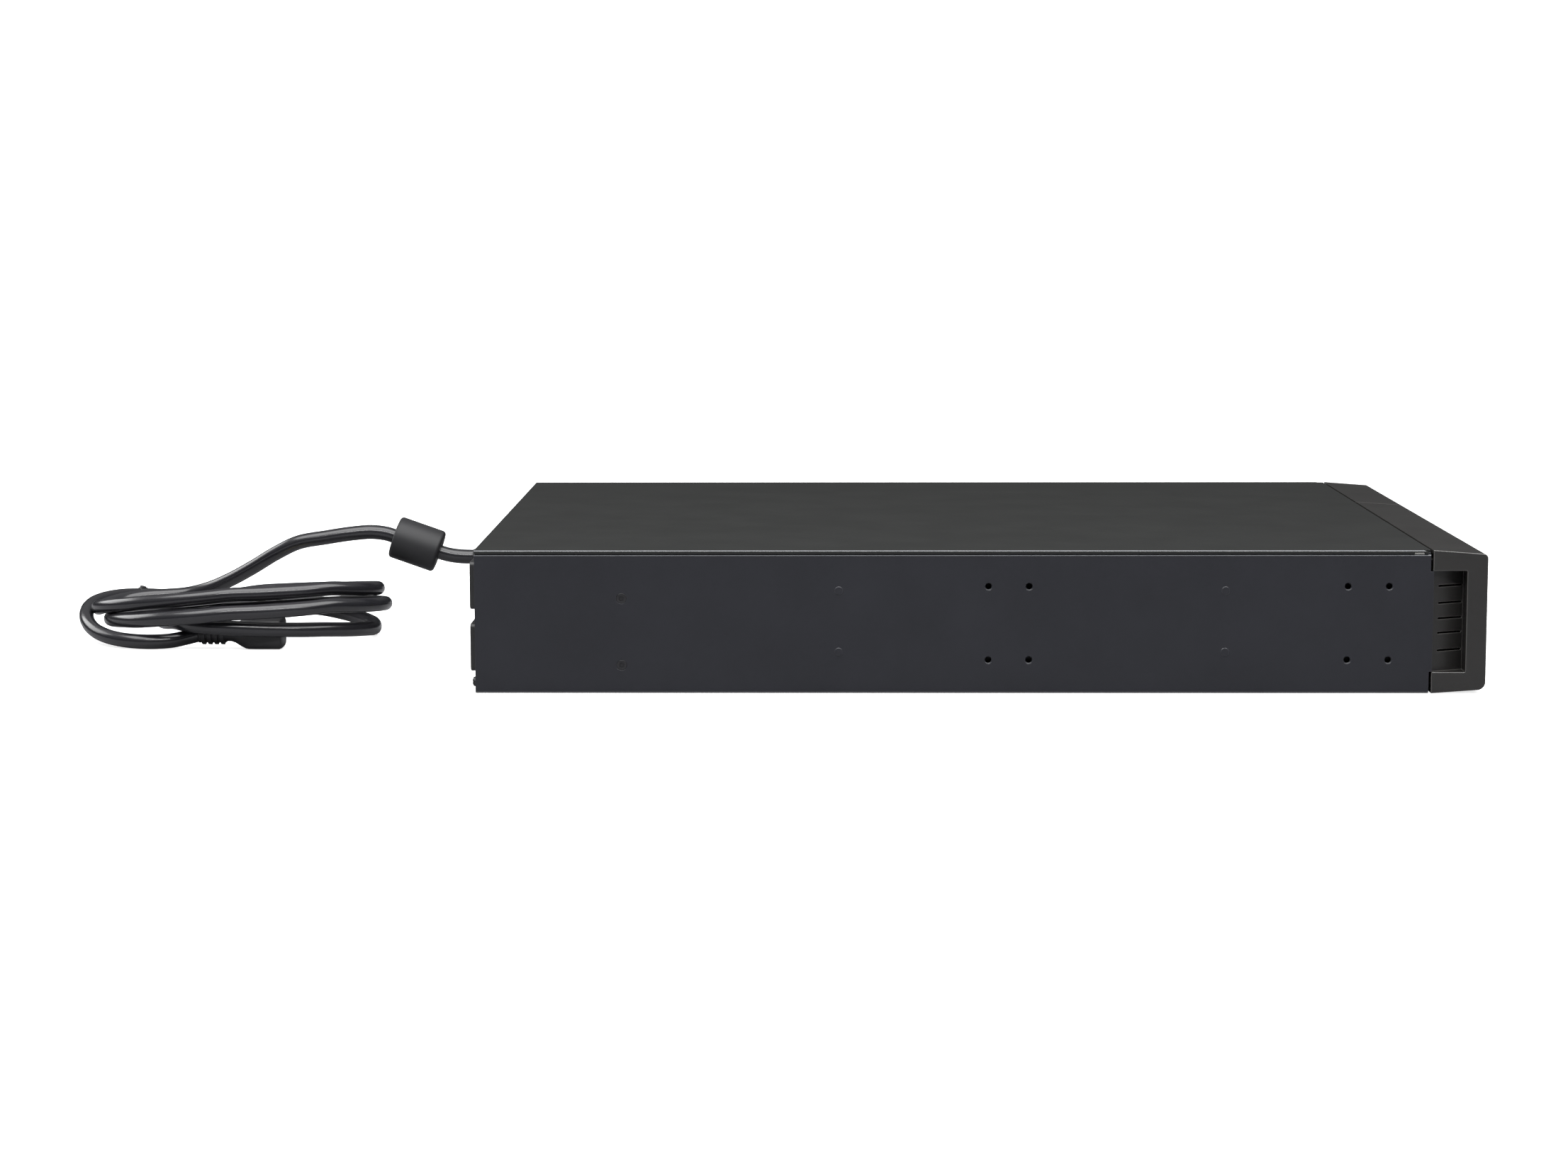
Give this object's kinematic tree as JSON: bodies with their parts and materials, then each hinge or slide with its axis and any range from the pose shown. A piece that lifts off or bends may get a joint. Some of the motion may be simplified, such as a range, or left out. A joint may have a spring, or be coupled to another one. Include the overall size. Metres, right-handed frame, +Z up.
{
  "type": "rack mount power unit",
  "caption": "Rack-mount power unit with a rear outlet bank, cooling fan, removable battery door, slide-out battery pack, front buttons and a coiled mains lead with ferrite and plug.",
  "frame": {"origin": "centre of the underside of the bounding box, without the mains lead", "axes": "+X out of the front bezel, +Y to the control-panel side, +Z up"},
  "size_m": [0.9089, 0.4388, 0.087],
  "materials": {
    "case_paint": "satin powder coat",
    "cover_paint": "satin powder coat",
    "bezel_plastic": "fine moulded texture",
    "black_plastic": "moulded",
    "button_plastic": "moulded",
    "display_lens": "clear smoked",
    "display": "liquid crystal panel",
    "circuit_board": "solder resist",
    "zinc": "zinc plated",
    "aluminium": "extruded",
    "battery_case": "moulded",
    "connector": "moulded",
    "laminations": "varnished steel",
    "winding": "enamelled copper",
    "sleeve": "shrunk sleeve",
    "ferrite": "overmoulded",
    "cord_jacket": "smooth jacket",
    "blade": "plain"
  },
  "bodies": {
    "case": {"chassis_tray": "case_paint", "rear_panel": "case_paint", "slot_cover": "case_paint", "side_screw_1": "case_paint", "side_screw_2": "case_paint", "side_screw_3": "case_paint", "side_screw_4": "case_paint", "rear_screw_1": "case_paint", "rear_screw_2": "case_paint", "top_cover": "cover_paint", "front_subframe": "zinc", "bay_divider": "zinc", "fan_guard": "zinc", "slot_screw_1": "zinc", "slot_screw_2": "zinc", "ground_screw": "zinc", "bezel_panel": "bezel_plastic", "display_lens": "display_lens", "display_module": "display", "control_board": "circuit_board", "main_board": "circuit_board", "battery_socket": "connector", "heat_sink_1": "aluminium", "heat_sink_2": "aluminium", "capacitor": "sleeve", "choke": "winding", "transformer_winding": "winding", "transformer_core": "laminations", "fan_frame": "black_plastic", "breaker_1": "black_plastic", "breaker_2": "black_plastic", "port_block": "black_plastic", "outlet_1": "black_plastic", "outlet_2": "black_plastic", "outlet_3": "black_plastic", "outlet_4": "black_plastic", "outlet_5": "black_plastic", "outlet_6": "black_plastic", "cord_gland": "cord_jacket", "cord_lead": "cord_jacket", "cord_run": "cord_jacket", "cord_coil": "cord_jacket", "plug": "cord_jacket", "ferrite": "ferrite", "plug_blade_line": "blade", "plug_blade_neutral": "blade", "plug_pin_ground": "blade"},
    "door": {"battery_door": "bezel_plastic"},
    "battery_pack": {"battery_tray": "zinc", "battery_1": "battery_case", "battery_2": "battery_case", "battery_3": "battery_case", "battery_4": "battery_case", "battery_plug": "connector"},
    "power_key": {"power_button": "button_plastic"},
    "mute_key": {"mute_button": "button_plastic"},
    "scroll_key": {"scroll_button": "button_plastic"},
    "breaker_key_1": {"breaker_button_1": "button_plastic"},
    "breaker_key_2": {"breaker_button_2": "button_plastic"},
    "fan_wheel": {"fan_rotor": "black_plastic"}
  },
  "joints": [
    {"name": "tray_slide", "type": "slide", "parent": "case", "child": "battery_pack", "axis": [1, 0, 0], "range_m": [0, 0.3]},
    {"name": "door_slide", "type": "slide", "parent": "case", "child": "door", "axis": [1, 0, 0], "range_m": [0, 0.36]},
    {"name": "power_press", "type": "slide", "parent": "case", "child": "power_key", "axis": [-1, 0, 0], "range_m": [0, 0.0015], "stiffness_N_per_m": 600},
    {"name": "mute_press", "type": "slide", "parent": "case", "child": "mute_key", "axis": [-1, 0, 0], "range_m": [0, 0.0015], "stiffness_N_per_m": 600},
    {"name": "scroll_press", "type": "slide", "parent": "case", "child": "scroll_key", "axis": [-1, 0, 0], "range_m": [0, 0.0015], "stiffness_N_per_m": 600},
    {"name": "breaker_reset_1", "type": "slide", "parent": "case", "child": "breaker_key_1", "axis": [1, 0, 0], "range_m": [0, 0.002], "stiffness_N_per_m": 1200},
    {"name": "breaker_reset_2", "type": "slide", "parent": "case", "child": "breaker_key_2", "axis": [1, 0, 0], "range_m": [0, 0.002], "stiffness_N_per_m": 1200},
    {"name": "fan_spin", "type": "hinge", "parent": "case", "child": "fan_wheel", "pos_m": [-0.2912, 0.168, 0.043], "axis": [1, 0, 0], "continuous": true}
  ],
  "couplings": [
    {"joint": "door_slide", "follows": "tray_slide", "ratio": 1.2}
  ]
}
